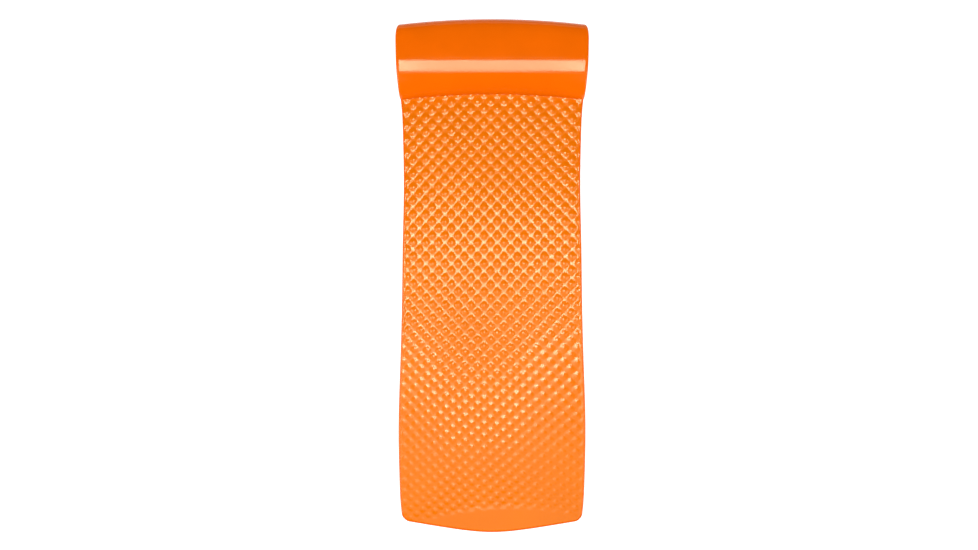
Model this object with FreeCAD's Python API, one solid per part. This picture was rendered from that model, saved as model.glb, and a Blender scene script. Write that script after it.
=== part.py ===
import FreeCAD, Part
import math
import os

# Foam float mat with a rolled pillow across its head end.
# Frame in millimetres: X across the mat, +Y towards the head, +Z up, underside on Z = 0.

Vector = FreeCAD.Vector

# Driving dimensions
LENGTH = 1778.0
SHEET_THICKNESS = 38.0
SKIN = 1.0
BOND = 0.5
ROLL_HEIGHT = 120.0
ROLL_LENGTH = 257.0
HEAD_BOW_RADIUS = 2526.0
# How far the swept sections run past the sides before they are trimmed, as a share of the half width
BOW_OVERRUN = 1.15
BACK_BEND_RADIUS = 50.0
FOOT_CORNER_RADIUS = 24.0

# Half widths down the length, as (Y, half width): the pillow, the waist below it and the wide foot
SIDE_STATIONS = [
    (910.0, 327.0),
    (770.0, 328.5),
    (666.0, 324.0),
    (603.0, 317.5),
    (333.0, 308.5),
    (0.0, 314.0),
    (-540.0, 327.0),
    (-751.0, 322.0),
    (-852.0, 311.0),
]
# The foot edge's depth below its corners, as (X, Y), on the left half
FOOT_STATIONS = [
    (-222.0, -863.0),
    (-111.0, -879.2),
]

# Worked out from the driving dimensions
HEAD_Y = LENGTH / 2
FOOT_Y = -LENGTH / 2
NOSE_RADIUS = ROLL_HEIGHT / 2
NOSE_Y = HEAD_Y - NOSE_RADIUS
CREASE_Y = HEAD_Y - ROLL_LENGTH
BOW_CENTRE = Vector(0, HEAD_Y - HEAD_BOW_RADIUS, 0)
BOW_SWEEP = 2 * math.degrees(math.asin(BOW_OVERRUN * SIDE_STATIONS[1][1] / (CREASE_Y - BOW_CENTRE.y)))
FAR = 2 * LENGTH


def spline(points):
    """A smooth curve through the points."""
    curve = Part.BSplineCurve()
    curve.interpolate([Vector(x, y, 0) for x, y in points])
    return curve.toShape()


def sides(inset):
    """The plan outline as an upright block, moved in by inset and left open past the head end."""
    right_side = [(half - inset, y) for y, half in SIDE_STATIONS]
    corner_x, corner_y = right_side[-1]
    right_side[-1] = (corner_x, corner_y + inset)
    left_side = [(-x, y) for x, y in right_side]
    left_foot = [left_side[-1]] + [(x, y + inset) for x, y in FOOT_STATIONS]
    right_foot = [(-x, y) for x, y in reversed(left_foot)]
    edges = [
        spline(right_side),
        spline([right_side[0], left_side[0]]),
        spline(left_side),
        spline(left_foot + [(0, FOOT_Y + inset)] + right_foot),
    ]
    face = Part.Face(Part.Wire(Part.sortEdges(edges)[0]))
    face.translate(Vector(0, 0, -ROLL_HEIGHT))
    block = face.extrude(Vector(0, 0, 3 * ROLL_HEIGHT))
    foot_corners = [edge for edge in block.Edges if is_foot_corner(edge.BoundBox)]
    return block.makeFillet(FOOT_CORNER_RADIUS - inset, foot_corners)


def is_foot_corner(box):
    return box.ZLength > ROLL_HEIGHT and box.YMax < 0 and box.YLength < 1


def inside_bow(y, low_z, high_z):
    """A layer from low_z to high_z, on the foot side of the bowed line through y."""
    return Part.makeCylinder(y - BOW_CENTRE.y, high_z - low_z, BOW_CENTRE + Vector(0, 0, low_z))


def line(start, end):
    return Part.LineSegment(Vector(0, *start), Vector(0, *end)).toShape()


def quarter(centre, radius, from_degrees):
    """A quarter circle in the YZ plane, turning on from the given angle."""
    points = []
    for degrees in (from_degrees, from_degrees + 45, from_degrees + 90):
        angle = math.radians(degrees)
        y = centre[0] + radius * math.cos(angle)
        z = centre[1] + radius * math.sin(angle)
        points.append(Vector(0, y, z))
    return Part.Arc(*points).toShape()


def bowed(edges):
    """A section in the YZ plane, swept across the mat along the bow of the head end."""
    face = Part.Face(Part.Wire(Part.sortEdges(edges)[0]))
    face.rotate(BOW_CENTRE, Vector(0, 0, 1), -BOW_SWEEP / 2)
    return face.revolve(BOW_CENTRE, Vector(0, 0, 1), BOW_SWEEP)


def roll_section(inset, floor_z, nose_floor_z):
    """The roll's outer section: up around the nose, back over the top and down to the crease."""
    nose = (NOSE_Y, NOSE_RADIUS)
    nose_radius = NOSE_RADIUS - inset
    back = (CREASE_Y + BACK_BEND_RADIUS, ROLL_HEIGHT - BACK_BEND_RADIUS)
    back_radius = BACK_BEND_RADIUS - inset
    back_y = back[0] - back_radius
    top_z = ROLL_HEIGHT - inset
    return [
        quarter(nose, nose_radius, -90),
        quarter(nose, nose_radius, 0),
        line((nose[0], top_z), (back[0], top_z)),
        quarter(back, back_radius, 90),
        line((back_y, back[1]), (back_y, floor_z)),
        line((back_y, floor_z), (nose[0], floor_z)),
        line((nose[0], floor_z), (nose[0], nose_floor_z)),
    ]


def hollow_section(inset):
    """The room inside the roll, between the turned sheet and the mat below it."""
    nose = (NOSE_Y, NOSE_RADIUS)
    nose_radius = NOSE_RADIUS - SHEET_THICKNESS - inset
    back = (CREASE_Y + BACK_BEND_RADIUS, ROLL_HEIGHT - BACK_BEND_RADIUS)
    back_radius = BACK_BEND_RADIUS - SHEET_THICKNESS - inset
    back_y = back[0] - back_radius
    top_z = ROLL_HEIGHT - SHEET_THICKNESS - inset
    floor_z = SHEET_THICKNESS + inset
    return [
        quarter(nose, nose_radius, -90),
        quarter(nose, nose_radius, 0),
        line((nose[0], top_z), (back[0], top_z)),
        quarter(back, back_radius, 90),
        line((back_y, back[1]), (back_y, floor_z)),
        line((back_y, floor_z), (nose[0], floor_z)),
    ]


def landing_section():
    """The thin gap between the sheet's cut end and the mat's face, which glue fills.

    It runs on under the hollow by its own thickness, so the sheet's end stays clear of the mat.
    """
    near_y = CREASE_Y + SKIN
    far_y = CREASE_Y + SHEET_THICKNESS + BOND
    low_z = SHEET_THICKNESS - BOND
    high_z = SHEET_THICKNESS
    corners = [(near_y, low_z), (far_y, low_z), (far_y, high_z), (near_y, high_z)]
    return [line(a, b) for a, b in zip(corners, corners[1:] + corners[:1])]


def foam_pieces(inner_sides):
    """The turned sheet, the filler roll inside it and the two glue bonds."""
    flat = inside_bow(NOSE_Y, SKIN, SHEET_THICKNESS - SKIN)
    roll = bowed(roll_section(SKIN, SHEET_THICKNESS - SKIN, SKIN))
    hollow = bowed(hollow_section(0))
    filler_room = bowed(hollow_section(BOND))
    landing = bowed(landing_section())
    sheet = flat.common(inner_sides).fuse(roll.common(inner_sides)).removeSplitter()
    return {
        "foam_sheet": sheet.cut(hollow).cut(landing),
        "filler_roll": filler_room.common(inner_sides),
        "filler_bond": hollow.cut(filler_room).common(inner_sides),
        "landing_bond": landing.common(inner_sides),
    }


def skin_pieces(outer_sides, inner_sides):
    """The vinyl coat, one node for each face that it covers."""
    rim = outer_sides.cut(inner_sides)
    wrap = bowed(roll_section(0, SHEET_THICKNESS, 0))
    wrapped = bowed(roll_section(SKIN, SHEET_THICKNESS, SKIN))
    ends = bowed(roll_section(0, SKIN, 0)).common(rim)
    left_half = Part.makeBox(FAR, 2 * FAR, 2 * FAR, Vector(-FAR, -FAR, -FAR))
    face_layer = inside_bow(CREASE_Y + SKIN, SHEET_THICKNESS - SKIN, SHEET_THICKNESS)
    return {
        "base_skin": inside_bow(NOSE_Y, 0, SKIN).common(outer_sides),
        "mat_face_skin": face_layer.common(inner_sides),
        "mat_edge_skin": inside_bow(CREASE_Y, SKIN, SHEET_THICKNESS).common(rim),
        "pillow_skin": wrap.cut(wrapped).common(inner_sides),
        "pillow_left_end_skin": ends.common(left_half),
        "pillow_right_end_skin": ends.cut(left_half),
    }


def main():
    os.makedirs("parts", exist_ok=True)
    outer_sides = sides(0)
    inner_sides = sides(SKIN)
    pieces = foam_pieces(inner_sides)
    pieces.update(skin_pieces(outer_sides, inner_sides))
    for name, shape in pieces.items():
        print(name, len(shape.Solids), shape.isValid(), round(shape.Volume))
        shape.exportStep(f"parts/{name}.step")


main()
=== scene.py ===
import math

import bpy
import numpy as np
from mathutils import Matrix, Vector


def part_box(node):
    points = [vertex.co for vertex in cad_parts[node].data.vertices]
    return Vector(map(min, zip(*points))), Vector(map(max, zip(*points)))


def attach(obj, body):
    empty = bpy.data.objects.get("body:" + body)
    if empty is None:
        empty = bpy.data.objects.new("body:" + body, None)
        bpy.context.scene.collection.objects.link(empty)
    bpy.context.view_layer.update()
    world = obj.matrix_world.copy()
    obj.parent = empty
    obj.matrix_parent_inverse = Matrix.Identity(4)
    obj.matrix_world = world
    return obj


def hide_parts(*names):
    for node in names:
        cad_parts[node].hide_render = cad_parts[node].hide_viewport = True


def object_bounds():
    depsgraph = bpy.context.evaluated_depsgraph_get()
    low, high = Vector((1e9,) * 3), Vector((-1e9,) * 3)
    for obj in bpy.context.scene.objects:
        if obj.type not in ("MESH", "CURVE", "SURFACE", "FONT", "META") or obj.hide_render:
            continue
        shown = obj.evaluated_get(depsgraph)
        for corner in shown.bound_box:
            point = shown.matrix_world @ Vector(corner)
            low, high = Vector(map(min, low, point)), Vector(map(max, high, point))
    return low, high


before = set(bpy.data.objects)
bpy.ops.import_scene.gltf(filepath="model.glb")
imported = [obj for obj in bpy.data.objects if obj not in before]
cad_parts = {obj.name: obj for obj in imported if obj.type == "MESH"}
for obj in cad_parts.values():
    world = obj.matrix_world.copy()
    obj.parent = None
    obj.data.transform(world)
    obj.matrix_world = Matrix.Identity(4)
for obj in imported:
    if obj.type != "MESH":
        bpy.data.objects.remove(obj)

CAD_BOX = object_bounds()

# The frame: +Y towards the pillow, Z up, underside on Z = 0
LOW, HIGH = (np.array(corner) for corner in CAD_BOX)
FACE_HIGH = np.array(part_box("mat_face_skin")[1])
HEAD_Y = HIGH[1]
FOOT_Y = LOW[1]
SHEET = FACE_HIGH[2]
CREASE_Y = FACE_HIGH[1]
ROLL_HALF_WIDTH = HIGH[0]

# Half widths down the length, as (Y, half width)
SIDE_STATIONS = [
    (0.889, 0.3227),
    (0.868, 0.3264),
    (0.800, 0.3290),
    (0.740, 0.3278),
    (0.666, 0.3238),
    (0.603, 0.3165),
    (0.478, 0.3103),
    (0.333, 0.3078),
    (0.124, 0.3114),
    (-0.084, 0.3143),
    (-0.293, 0.3197),
    (-0.540, 0.3262),
    (-0.709, 0.3227),
    (-0.793, 0.3184),
    (-0.860, 0.3100),
]
# The foot edge is a shallow bow whose two halves straighten towards the corners
FOOT_SLOPE = 0.1845
FOOT_ROUNDING = 0.0193
FOOT_CORNER_RADIUS = 0.024

# The mat's grid and edges: how far the top and the base round over, and how far it goes under the roll
TOP_ROUND = 0.007
BASE_ROUND = 0.006
WALL_BULGE = 0.0015
EDGE_STEPS = 5
MAT_STEP = 0.0035
BASE_RIM = 0.020
MAT_TUCK = 0.175
FINE_PAST_CREASE = 0.01
TUCKED_ROWS = 12
# The rows take up the foot edge's bow over this much of the mat
FOOT_BOW_REACH = 0.35
# The places of the two coats in the mat's list of materials
EMBOSSED_COAT = 0
SMOOTH_COAT = 1

# The slow unevenness of a soft mat lying on a floor: its rise to the roll between two places, and waves
# as (height, radians per metre across, along, phase). It fades out over the last FLAT_FOOT before the
# foot edge. FACE_DROP lowers the whole face.
ROLL_RISE = 0.0050
ROLL_RISE_Y = (0.40, 0.66)
WAVES = [
    (0.0007, 2.0, 5.1, 0.6),
    (0.0005, -4.0, 9.3, 2.1),
    (0.0006, 7.0, -1.3, math.pi / 2),
]
FLAT_FOOT = 0.08
FACE_DROP = 0.0005

# The embossing: round domes in a square lattice turned by 45 degrees, so rows are offset by half a
# pitch, with a pit where four of them meet. Distances are from a dome's centre, in lattice pitches.
FLANK_DROP = 0.0106
DOME_TIP = 0.13
RIM = 0.38
PIT = math.sqrt(0.5)
PIT_POWER = 1.6
VALLEY_ROUNDING = 0.00022
# The embossing's depth down the mat, as a share of the full depth
WORN_AT_Y = [-0.80, -0.67, -0.61, -0.56, -0.38, -0.20]
WORN_DEPTH = [0.58, 0.54, 0.51, 0.62, 0.77, 1.0]
# How much shallower it is towards the sides, and between which places that comes in
SIDE_WEAR = 0.34
SIDE_WEAR_CENTRE = -0.04
SIDE_WEAR_X = (0.08, 0.24)
SIDE_WEAR_Y = (-0.10, -0.25)
# The plain margins: at the foot, where the edge of the embossing bows, at the sides and at the crease
PLAIN_FOOT_Y = -0.800
PLAIN_FOOT_BOW = 0.050
PLAIN_FOOT_CENTRE = 0.060
PLAIN_FOOT_SPAN = 0.300
PLAIN_FOOT_FADE = 0.012
PLAIN_SIDE = (0.004, 0.013)
PLAIN_CREASE = (-0.014, -0.002)
# The lattice's pitches across and along, how they change down the mat, and where a dome's centre is
PITCH_X = 0.0462
PITCH_X_SPREAD = 0.0087
PITCH_X_FOOT = 0.955
PITCH_Y = 0.0493
PITCH_Y_LOSS = 0.0094
PITCH_LOSS_FROM_Y = 0.437
PITCH_LOSS_SPAN = 1.104
PITCH_LOSS_LIMIT = 1.15
LATTICE_ORIGIN = (-0.0048, 0.268)
LATTICE_SAMPLES = 4001
# How much the rows bow at places down the mat, and how much they lean towards the foot
ROW_BOW_AT_Y = [-0.80, -0.54, 0.228, 0.507, 0.63]
ROW_BOW = [-0.10, -0.10, 0.0, 0.126, 0.20]
ROW_LEAN = 0.065
ROW_LEAN_Y = (0.05, -0.50)

# The roll's outer section, as control points (Y, Z), from the underside around the nose to the crease
ROLL_SECTION = [
    (0.770, 0.000),
    (0.800, 0.000),
    (0.838, 0.000),
    (0.8765, 0.005),
    (0.8893, 0.030),
    (0.8893, 0.056),
    (0.8865, 0.083),
    (0.8775, 0.1055),
    (0.856, 0.1160),
    (0.825, 0.1190),
    (0.795, 0.1197),
    (0.768, 0.1198),
    (0.752, 0.1198),
    (0.745, 0.1196),
    (0.7405, 0.1193),
    (0.7365, 0.1188),
    (0.7285, 0.1176),
    (0.7125, 0.11472),
    (0.7050, 0.11314),
    (0.7005, 0.11211),
    (0.6985, 0.11163),
    (0.6965, 0.11107),
    (0.6945, 0.11025),
    (0.692, 0.10885),
    (0.688, 0.10629),
    (0.682, 0.10227),
    (0.674, 0.09675),
    (0.664, 0.0892),
    (0.654, 0.0803),
    (0.645, 0.0702),
    (0.638, 0.0585),
    (0.634, 0.0455),
    (0.6345, 0.034),
    (0.641, 0.024),
]
# How finely the section and each ring of points along it are divided, and the rounding of a ring's edges.
# The inner face keeps one point in INNER_FACE_SKIP.
SECTION_STEPS = 9
ROLL_EDGE_ROUND = 0.007
EDGE_ARC_POINTS = 6
FACE_POINTS = 121
INNER_FACE_SKIP = 4
# The turned sheet is this much thinner than the mat, and its heading is averaged this far each way
TURNED_THINNER = 0.0015
TURN_REACH = 0.026
TURN_SAMPLES = 41
# How far the head edge and the crease bow at the sides, and from where along the roll
HEAD_BOW = 0.0195
HEAD_BOW_FROM = 0.765
CREASE_BOW = 0.0200
CREASE_BOW_FROM = 0.700

# The filler roll inside: its centre and half size in (Y, Z), and how its ends are domed
CORE_CENTRE = (0.7585, 0.0600)
CORE_HALF_SIZE = (0.0925, 0.0228)
CORE_SQUARENESS = 3.2
CORE_HALF_LENGTH = 0.3205
CORE_DOME = 0.004
CORE_DOME_STEPS = 8
CORE_DOME_POWER = 0.5
CORE_AROUND = 96
CORE_ALONG = 40

# The vinyl: its orange, the embossed face's orange with painted sheen (yellower than the smooth coat,
# standing in for reflected light on the embossing), its gloss, its uneven tone and its orange peel
SMOOTH_ORANGE = (0.77, 0.119, 0.0)
# The embossed face's colour is the same vinyl as the smooth coat with painted sheen: made yellower to stand
# in for the veil of reflected light
EMBOSSED_ORANGE_AND_SHEEN = (0.745, 0.153, 0.0)
VINYL_IOR = 1.5
GLOSS_TINT = (0.8, 1.0, 0.70, 1)
TONE_SCALE = 9.0
TONE_DETAIL = 5.0
TONE_FROM = 0.3
TONE_TO = 0.7
DARKER_TONE = 0.94
GLOSSIER = 0.85
DULLER = 1.2
PEEL_SCALE = 320.0
PEEL_DETAIL = 2.0
PEEL_DEPTH = 0.0002

# The studio: the lights as (name, place, aim, (width, depth), radiance), the floor, the room and the camera
LIGHTS = [
    ("overhead", (0, 0.215, 3.4), (0, 0.215, 0), (1.45, 0.63), 15),
    ("overhead_foot_side", (-0.10, -0.25, 3.4), (-0.10, -0.25, 0), (0.8, 0.30), 5.0),
    ("overhead_edge", (0, 0.48, 3.36), (0, 0.48, 0), (1.45, 0.09), 10),
    ("strip", (0, 1.18, 3.4), (0, 1.18, 0), (1.1, 0.07), 4),
    ("head_fill", (0, 3.1, 0.8), (0, 0.88, 0.05), (4.0, 0.9), 1.2),
    ("overhead_left_end", (-0.66, 0.18, 3.36), (-0.66, 0.18, 0), (0.24, 0.70), 12),
    ("left_fill", (-2.9, -1.05, 2.2), (0, -0.6, 0), (2.2, 3.2), 4.9),
    ("overhead_right_end", (0.66, 0.18, 3.36), (0.66, 0.18, 0), (0.24, 0.70), 12),
    ("right_fill", (2.9, -1.05, 2.2), (0, -0.6, 0), (2.2, 3.2), 3.7),
    ("foot_panel", (0, -1.75, 3.45), (0, -1.75, 0), (2.6, 1.3), 1.1),
    ("middle_panel", (-0.10, -0.74, 3.45), (-0.10, -0.74, 0), (1.3, 0.68), 3.2),
]
WHITE = (1, 1, 1, 1)
FLOOR_REACH = 20.0
FLOOR_GREY = (0.5, 0.5, 0.5, 1)
FLOOR_ROUGHNESS = 0.9
FLOOR_GLOSS = 0.1
FLOOR_GLOW = 0.85
ROOM_LIGHT = 0.04
ROOM_AS_SEEN = 0.95
CAMERA_AT = (-0.0106, 0.0074, 3.238)
CAMERA_SENSOR = 36.0
CAMERA_LENS = 33.86503


def cubic_through(stations):
    """A natural cubic spline through (place, value) stations, as a function of the place."""
    place, value = np.array(sorted(stations)).T
    gap = np.diff(place)
    count = len(place)
    system = np.eye(count)
    right = np.zeros(count)
    for i in range(1, count - 1):
        system[i, i - 1 : i + 2] = gap[i - 1], 2 * (gap[i - 1] + gap[i]), gap[i]
        right[i] = 6 * ((value[i + 1] - value[i]) / gap[i] - (value[i] - value[i - 1]) / gap[i - 1])
    bend = np.linalg.solve(system, right)

    def at(where):
        where = np.clip(where, place[0], place[-1])
        i = np.clip(np.searchsorted(place, where) - 1, 0, count - 2)
        before = where - place[i]
        after = place[i + 1] - where
        curved = (bend[i] * after**3 + bend[i + 1] * before**3) / (6 * gap[i])
        first = (value[i] / gap[i] - bend[i] * gap[i] / 6) * after
        second = (value[i + 1] / gap[i] - bend[i + 1] * gap[i] / 6) * before
        return curved + first + second

    return at


def smooth_step(value, low, high):
    """0 below low, 1 above high and smooth between; high may be the lower of the two."""
    t = np.clip((value - low) / (high - low), 0, 1)
    return t * t * (3 - 2 * t)


half_width = cubic_through(SIDE_STATIONS)


def foot_edge(x):
    """The Y of the foot edge."""
    return FOOT_Y + np.sqrt(FOOT_ROUNDING**2 + (FOOT_SLOPE * x) ** 2) - FOOT_ROUNDING


def crease_y(x):
    """The Y of the line where the roll meets the mat's face."""
    return CREASE_Y - CREASE_BOW * (x / ROLL_HALF_WIDTH) ** 2


def mesh_object(name, points, faces, smooth=True):
    """A new object in the scene, made of these points and faces."""
    mesh = bpy.data.meshes.new(name)
    mesh.from_pydata([tuple(p) for p in points], [], faces)
    mesh.update()
    mesh.polygons.foreach_set("use_smooth", [smooth] * len(mesh.polygons))
    made = bpy.data.objects.new(name, mesh)
    bpy.context.scene.collection.objects.link(made)
    return made


# ---------------------------------------------------------------- the mat

def lattice_phase(x, y):
    """How many diagonal rows each point is from the lattice's origin, along both diagonals."""
    toward_foot = smooth_step(y, PITCH_LOSS_FROM_Y, FOOT_Y)
    bow = np.interp(y, ROW_BOW_AT_Y, ROW_BOW)
    lean = ROW_LEAN * smooth_step(y, *ROW_LEAN_Y)
    row_y = y + bow * x**2 + lean * x
    fine_y = np.linspace(-1.0, 1.0, LATTICE_SAMPLES)
    loss = np.clip((PITCH_LOSS_FROM_Y - fine_y) / PITCH_LOSS_SPAN, 0, PITCH_LOSS_LIMIT) ** 3
    pitch = PITCH_Y - PITCH_Y_LOSS * loss
    rows = np.concatenate([[0], np.cumsum(np.diff(fine_y) / pitch[1:])])
    rows -= np.interp(LATTICE_ORIGIN[1], fine_y, rows)
    along = np.interp(row_y, fine_y, rows)
    pitch_x = PITCH_X * (1 - (1 - PITCH_X_FOOT) * toward_foot)
    across = (x - LATTICE_ORIGIN[0]) / pitch_x
    across -= 0.5 * PITCH_X_SPREAD * x**2 / pitch_x**2
    return across + along, across - along


def dome_height(r):
    """The height at a distance from a dome's centre: a blunt cone that runs out into the pit."""
    cone = np.hypot(np.minimum(r, RIM), DOME_TIP) - DOME_TIP
    left = np.clip((PIT - r) / (PIT - RIM), 0, 1)
    runout = (PIT - RIM) * (1 - left ** (PIT_POWER + 1)) / (PIT_POWER + 1)
    return -FLANK_DROP * (cone + runout)


def embossing(p, q):
    """The embossed face's height: the nearest domes, joined by slightly rounded valleys."""
    total = 0
    for step_p in (0, 1):
        for step_q in (0, 1):
            r = np.hypot(p - np.floor(p) - step_p, q - np.floor(q) - step_q)
            total = total + np.exp(dome_height(r) / VALLEY_ROUNDING)
    return VALLEY_ROUNDING * np.log(total)


def emboss_strength(x, y):
    """1 where the embossing is full depth, 0 in the plain margins."""
    plain_from = PLAIN_FOOT_Y - PLAIN_FOOT_BOW * ((x - PLAIN_FOOT_CENTRE) / PLAIN_FOOT_SPAN) ** 2
    foot = smooth_step(y, plain_from - PLAIN_FOOT_FADE, plain_from + PLAIN_FOOT_FADE)
    to_side = smooth_step(np.abs(x - SIDE_WEAR_CENTRE), *SIDE_WEAR_X) * smooth_step(y, *SIDE_WEAR_Y)
    worn = np.interp(y, WORN_AT_Y, WORN_DEPTH) * (1 - SIDE_WEAR * to_side)
    side = smooth_step(half_width(y) - np.abs(x), *PLAIN_SIDE)
    crease = smooth_step(crease_y(x) - y, *PLAIN_CREASE)
    return foot * worn * side * crease


def settle(x, y):
    """How far the face lies above its nominal height."""
    height = ROLL_RISE * smooth_step(y, *ROLL_RISE_Y)
    for size, across, along, phase in WAVES:
        height = height + size * np.sin(across * x + along * y + phase)
    return height * smooth_step(y - foot_edge(x), 0, FLAT_FOOT)


def rounded_corner(from_side, from_foot, radius):
    """Moves points near a square corner so that the corner becomes round."""
    a = np.clip((radius - from_side) / radius, 0, 1)
    b = np.clip((radius - from_foot) / radius, 0, 1)
    near = (a > 0) & (b > 0)
    new_a = np.where(near, a * np.sqrt(1 - b**2 / 2), a)
    new_b = np.where(near, b * np.sqrt(1 - a**2 / 2), b)
    side = np.where(near, radius - new_a * radius, from_side)
    foot = np.where(near, radius - new_b * radius, from_foot)
    return side, foot


def mat_plan():
    """The mat's top face as a grid of plan positions, inside its rounded edge."""
    fine_to = CREASE_Y + FINE_PAST_CREASE
    columns = int(2 * ROLL_HALF_WIDTH / MAT_STEP)
    fine_rows = int((fine_to - FOOT_Y) / MAT_STEP)
    u = np.linspace(-1, 1, columns + 1)
    row_y = np.linspace(FOOT_Y + TOP_ROUND, fine_to, fine_rows + 1)
    row_y = np.concatenate([row_y, np.linspace(fine_to, CREASE_Y + MAT_TUCK, TUCKED_ROWS)[1:]])
    grid_u, grid_y = np.meshgrid(u, row_y)
    inner = half_width(grid_y) - TOP_ROUND
    x = grid_u * inner
    lift = foot_edge(x) - FOOT_Y
    y = grid_y + lift * smooth_step(grid_y, FOOT_Y + FOOT_BOW_REACH, FOOT_Y + TOP_ROUND)
    from_foot = y - foot_edge(x) - TOP_ROUND
    inner = half_width(y) - TOP_ROUND
    x = grid_u * inner
    from_side = inner - np.abs(x)
    side, foot = rounded_corner(from_side, from_foot, FOOT_CORNER_RADIUS - TOP_ROUND)
    return np.sign(x) * (inner - side), y + foot - from_foot


def edge_profile():
    """The mat's edge below its top face, as (how far out, height), down to the base."""
    quarter = np.linspace(0, math.pi / 2, EDGE_STEPS + 1)
    top = [(TOP_ROUND * math.sin(a), SHEET - TOP_ROUND * (1 - math.cos(a))) for a in quarter[1:]]
    middle = [(TOP_ROUND + WALL_BULGE, (SHEET - TOP_ROUND + BASE_ROUND) / 2)]
    base = [
        (TOP_ROUND - BASE_ROUND * (1 - math.cos(a)), BASE_ROUND * (1 - math.sin(a))) for a in quarter
    ]
    return top + middle + base


def grid_faces(index):
    """The faces of a grid of points, given as the points' numbers."""
    corners = [index[:-1, :-1], index[:-1, 1:], index[1:, 1:], index[1:, :-1]]
    return list(zip(*[corner.ravel().tolist() for corner in corners]))


def outward_from(rim_at):
    """The direction out of the mat at each point of its rim, in plan."""
    along = np.gradient(rim_at[:, :2], axis=0)
    along /= np.linalg.norm(along, axis=1, keepdims=True)
    outward = np.stack([along[:, 1], -along[:, 0]], axis=-1)
    outward[0] = outward[1]
    return outward


def edge_rings(rim_at):
    """Rings of points below the mat's rim: down its edge and a little way in along its base."""
    outward = outward_from(rim_at)
    rings = []
    for out, height in edge_profile():
        z = height + (rim_at[:, 2] - SHEET) * height / SHEET
        rings.append(np.column_stack([rim_at[:, :2] + outward * out, z]))
    rings.append(np.column_stack([rim_at[:, :2] - outward * BASE_RIM, np.zeros(len(rim_at))]))
    return rings


def build_mat(face_coat, edge_coat):
    """The embossed sheet with rounded edges: a closed solid whose head end is under the roll."""
    x, y = mat_plan()
    relief = embossing(*lattice_phase(x, y)) * emboss_strength(x, y)
    z = SHEET + relief + settle(x, y) - FACE_DROP
    face_points = np.stack([x, y, z], axis=-1).reshape(-1, 3)
    index = np.arange(x.size).reshape(x.shape)
    faces = grid_faces(index)
    coat_of_face = [EMBOSSED_COAT] * len(faces)
    # the rim runs down the left side, along the foot and up the right side
    rim = np.concatenate([index[::-1, 0], index[0, 1:], index[1:, -1]])
    rings = edge_rings(face_points[rim])
    ring_index = x.size + np.arange(len(rings) * len(rim)).reshape(len(rings), len(rim))
    loops = np.vstack([rim, ring_index])
    faces += grid_faces(loops.T)
    # the base inside its rim, and the flat end under the roll
    faces.append(tuple(loops[-1, ::-1].tolist()))
    faces.append(tuple(index[-1].tolist() + loops[1:, -1].tolist() + loops[:0:-1, 0].tolist()))
    coat_of_face += [SMOOTH_COAT] * (len(faces) - len(coat_of_face))
    made = mesh_object("mat", np.concatenate([face_points, *rings]), faces)
    made.data.materials.append(face_coat)
    made.data.materials.append(edge_coat)
    made.data.polygons.foreach_set("material_index", coat_of_face)
    return made


# ---------------------------------------------------------------- the roll

def b_spline(controls, steps):
    """Points along the uniform cubic B-spline of the control points."""
    controls = np.array(controls)
    t = np.linspace(0, 1, steps, endpoint=False)[:, None]
    weights = [(1 - t) ** 3, 3 * t**3 - 6 * t**2 + 4, -3 * t**3 + 3 * t**2 + 3 * t + 1, t**3]
    spans = []
    for i in range(len(controls) - 3):
        spans.append(sum(w * c for w, c in zip(weights, controls[i : i + 4])) / 6)
    last = (controls[-3] + 4 * controls[-2] + controls[-1]) / 6
    return np.concatenate([*spans, last[None]])


def even_normals(path):
    """Outward normals that turn evenly, so that an inner face offset along them doesn't cross itself."""
    along = np.concatenate([[0], np.cumsum(np.linalg.norm(np.diff(path, axis=0), axis=1))])
    tangent = np.gradient(path, along, axis=0)
    heading = np.unwrap(np.arctan2(tangent[:, 1], tangent[:, 0]))
    reach = np.linspace(-TURN_REACH, TURN_REACH, TURN_SAMPLES)
    even = np.mean([np.interp(along + offset, along, heading) for offset in reach], axis=0)
    return np.stack([np.sin(even), -np.cos(even)], axis=-1)


def bowed_y(x, y):
    """The head edge and the crease bow towards the foot at the mat's sides; the crest stays straight."""
    share = (x / ROLL_HALF_WIDTH) ** 2
    head = HEAD_BOW * smooth_step(y, HEAD_BOW_FROM, HEAD_Y)
    crease = CREASE_BOW * smooth_step(y, CREASE_BOW_FROM, CREASE_Y)
    return y - share * (head + crease)


def sheet_ring(half, thickness):
    """The sheet's cross-section as (across, depth below the outer face), around from the left edge."""
    r = ROLL_EDGE_ROUND
    flat = half - r
    quarter = np.linspace(0, math.pi / 2, EDGE_ARC_POINTS)
    face = np.linspace(-1, 1, FACE_POINTS)[1:-1] * flat
    outer_left = [(-flat - r * math.cos(a), r - r * math.sin(a)) for a in quarter]
    outer_right = [(flat + r * math.sin(a), r - r * math.cos(a)) for a in quarter]
    inner_right = [(flat + r * math.cos(a), thickness - r + r * math.sin(a)) for a in quarter]
    inner_left = [(-flat - r * math.sin(a), thickness - r + r * math.cos(a)) for a in quarter]
    outer_face = [(x, 0) for x in face]
    inner_face = [(x, thickness) for x in face[::-INNER_FACE_SKIP]]
    return np.array(outer_left + outer_face + outer_right + inner_right + inner_face + inner_left)


def tube_faces(rings, size):
    """The faces of rings of points joined end to end, closed at both ends."""
    faces = []
    for j in range(rings - 1):
        for i in range(size):
            k = (i + 1) % size
            faces.append((j * size + i, j * size + k, (j + 1) * size + k, (j + 1) * size + i))
    faces.append(tuple(range(size))[::-1])
    faces.append(tuple(range((rings - 1) * size, rings * size)))
    return faces


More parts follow.
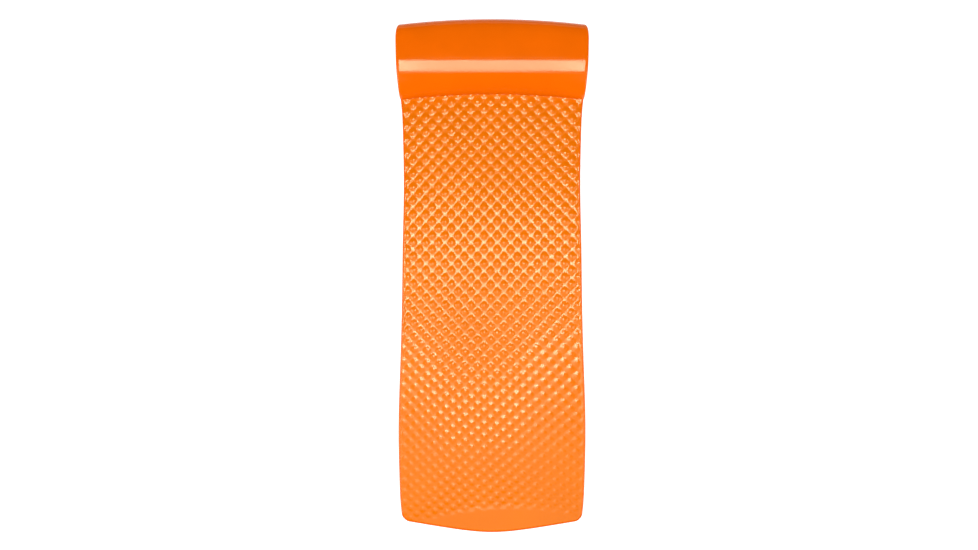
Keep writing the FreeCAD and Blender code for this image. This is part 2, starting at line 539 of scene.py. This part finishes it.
def build_roll():
    """The sheet's smooth head end, turned over the core and down onto the mat."""
    path = b_spline(ROLL_SECTION, SECTION_STEPS)
    normals = even_normals(path)
    points = []
    for (y, z), normal in zip(path, normals):
        ring = sheet_ring(half_width(y), SHEET - TURNED_THINNER)
        at_y = y - normal[0] * ring[:, 1]
        at_z = z - normal[1] * ring[:, 1]
        points.append(np.column_stack([ring[:, 0], bowed_y(ring[:, 0], at_y), at_z]))
    # the rings run the other way round from the core's, so each face is turned to look outwards
    faces = [face[::-1] for face in tube_faces(len(points), len(points[0]))]
    return mesh_object("pillow", np.concatenate(points), faces)


def build_core():
    """The filler roll that the sheet is turned over, with its coated ends slightly domed."""
    centre_y, centre_z = CORE_CENTRE
    half_y, half_z = CORE_HALF_SIZE
    angles = np.linspace(0, 2 * math.pi, CORE_AROUND, endpoint=False)
    power = 2 / CORE_SQUARENESS
    around_y = np.sign(np.cos(angles)) * np.abs(np.cos(angles)) ** power
    around_z = np.sign(np.sin(angles)) * np.abs(np.sin(angles)) ** power
    quarter = np.linspace(0, math.pi / 2, CORE_DOME_STEPS)[:-1]
    dome = [(CORE_HALF_LENGTH + CORE_DOME * math.sin(a), math.cos(a) ** CORE_DOME_POWER) for a in quarter]
    stations = [(-x, scale) for x, scale in reversed(dome)]
    stations += [(x, 1.0) for x in np.linspace(-CORE_HALF_LENGTH, CORE_HALF_LENGTH, CORE_ALONG)[1:-1]]
    stations += dome
    points = []
    for x, scale in stations:
        y = centre_y + around_y * (half_y - half_z * (1 - scale))
        z = centre_z + around_z * half_z * scale
        points.append(np.column_stack([np.full(len(y), x), bowed_y(x, y), z]))
    return mesh_object("pillow_core", np.concatenate(points), tube_faces(len(points), len(angles)))


# ---------------------------------------------------------------- materials

def add_uneven_tone(tree, shader, place, colour, roughness):
    """Slow patches of slightly darker and slightly glossier coat."""
    tone = tree.nodes.new("ShaderNodeTexNoise")
    tone.inputs["Scale"].default_value = TONE_SCALE
    tone.inputs["Detail"].default_value = TONE_DETAIL
    ramp = tree.nodes.new("ShaderNodeValToRGB")
    darker, full = ramp.color_ramp.elements
    darker.position = TONE_FROM
    darker.color = (*[c * DARKER_TONE for c in colour], 1)
    full.position = TONE_TO
    full.color = (*colour, 1)
    gloss = tree.nodes.new("ShaderNodeMapRange")
    gloss.inputs["To Min"].default_value = roughness * GLOSSIER
    gloss.inputs["To Max"].default_value = roughness * DULLER
    tree.links.new(place, tone.inputs["Vector"])
    tree.links.new(tone.outputs["Fac"], ramp.inputs["Fac"])
    tree.links.new(ramp.outputs["Color"], shader.inputs["Base Color"])
    tree.links.new(tone.outputs["Fac"], gloss.inputs["Value"])
    tree.links.new(gloss.outputs["Result"], shader.inputs["Roughness"])


def add_orange_peel(tree, shader, place, strength):
    """The fine unevenness of a dipped coat, as a bump."""
    noise = tree.nodes.new("ShaderNodeTexNoise")
    noise.inputs["Scale"].default_value = PEEL_SCALE
    noise.inputs["Detail"].default_value = PEEL_DETAIL
    bump = tree.nodes.new("ShaderNodeBump")
    bump.inputs["Strength"].default_value = strength
    bump.inputs["Distance"].default_value = PEEL_DEPTH
    tree.links.new(place, noise.inputs["Vector"])
    tree.links.new(noise.outputs["Fac"], bump.inputs["Height"])
    tree.links.new(bump.outputs["Normal"], shader.inputs["Normal"])


def vinyl(name, colour, gloss_level, roughness, peel):
    """A glossy dipped vinyl coat with faint orange peel and uneven tone."""
    material = bpy.data.materials.new(name)
    material.use_nodes = True
    tree = material.node_tree
    shader = tree.nodes["Principled BSDF"]
    shader.inputs["IOR"].default_value = VINYL_IOR
    shader.inputs["Specular IOR Level"].default_value = gloss_level
    shader.inputs["Specular Tint"].default_value = GLOSS_TINT
    place = tree.nodes.new("ShaderNodeTexCoord").outputs["Object"]
    add_uneven_tone(tree, shader, place, colour, roughness)
    add_orange_peel(tree, shader, place, peel)
    return material


# ---------------------------------------------------------------- studio

def build_floor():
    """A wide floor that glows, so that it shows as plain white."""
    reach = FLOOR_REACH
    corners = [(-reach, -reach, 0), (reach, -reach, 0), (reach, reach, 0), (-reach, reach, 0)]
    floor = mesh_object("floor", corners, [(0, 1, 2, 3)], smooth=False)
    material = bpy.data.materials.new("floor_white")
    material.use_nodes = True
    shader = material.node_tree.nodes["Principled BSDF"]
    shader.inputs["Base Color"].default_value = FLOOR_GREY
    shader.inputs["Roughness"].default_value = FLOOR_ROUGHNESS
    shader.inputs["Specular IOR Level"].default_value = FLOOR_GLOSS
    shader.inputs["Emission Color"].default_value = WHITE
    shader.inputs["Emission Strength"].default_value = FLOOR_GLOW
    floor.data.materials.append(material)


def area_light(name, at, aim, size, radiance):
    """A flat softbox of that width and depth, facing aim, as bright as radiance says."""
    data = bpy.data.lights.new(name, "AREA")
    data.shape = "RECTANGLE"
    data.size, data.size_y = size
    data.energy = radiance * math.pi * size[0] * size[1]
    light = bpy.data.objects.new(name, data)
    light.location = at
    away = light.location - type(light.location)(aim)
    light.rotation_euler = away.to_track_quat("Z", "Y").to_euler()
    bpy.context.scene.collection.objects.link(light)


def build_world():
    """A dim even room, seen by the camera as a pale one."""
    world = bpy.data.worlds.new("studio")
    world.use_nodes = True
    bpy.context.scene.world = world
    nodes = world.node_tree.nodes
    links = world.node_tree.links
    ray = nodes.new("ShaderNodeLightPath")
    seen = nodes.new("ShaderNodeMapRange")
    seen.inputs["To Min"].default_value = ROOM_LIGHT
    seen.inputs["To Max"].default_value = ROOM_AS_SEEN
    links.new(ray.outputs["Is Camera Ray"], seen.inputs["Value"])
    links.new(seen.outputs["Result"], nodes["Background"].inputs["Strength"])
    nodes["Background"].inputs["Color"].default_value = WHITE


def build_camera():
    """The camera, above the mat and looking straight down."""
    data = bpy.data.cameras.new("camera")
    data.sensor_width = CAMERA_SENSOR
    data.lens = CAMERA_LENS
    camera = bpy.data.objects.new("camera", data)
    camera.location = CAMERA_AT
    bpy.context.scene.collection.objects.link(camera)
    bpy.context.scene.camera = camera


# ---------------------------------------------------------------- assembly

smooth_orange = vinyl("smooth_vinyl_coat", SMOOTH_ORANGE, gloss_level=0.27, roughness=0.13, peel=0.08)
# The embossed coat's colour carries painted sheen, so it is yellower than the smooth coat
embossed_orange_and_sheen = vinyl("embossed_vinyl_coat", EMBOSSED_ORANGE_AND_SHEEN, gloss_level=0.46, roughness=0.17, peel=0.15)

mat = build_mat(embossed_orange_and_sheen, smooth_orange)
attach(mat, "root")
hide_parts("mat_face_skin", "mat_edge_skin", "base_skin", "foam_sheet")

pillow = build_roll()
pillow.data.materials.append(smooth_orange)
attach(pillow, "root")
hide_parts("pillow_skin", "landing_bond")

core = build_core()
core.data.materials.append(smooth_orange)
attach(core, "root")
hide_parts("filler_roll", "filler_bond", "pillow_left_end_skin", "pillow_right_end_skin")

build_floor()
for light in LIGHTS:
    area_light(*light)
build_world()
build_camera()
bpy.context.scene.view_settings.view_transform = "Standard"
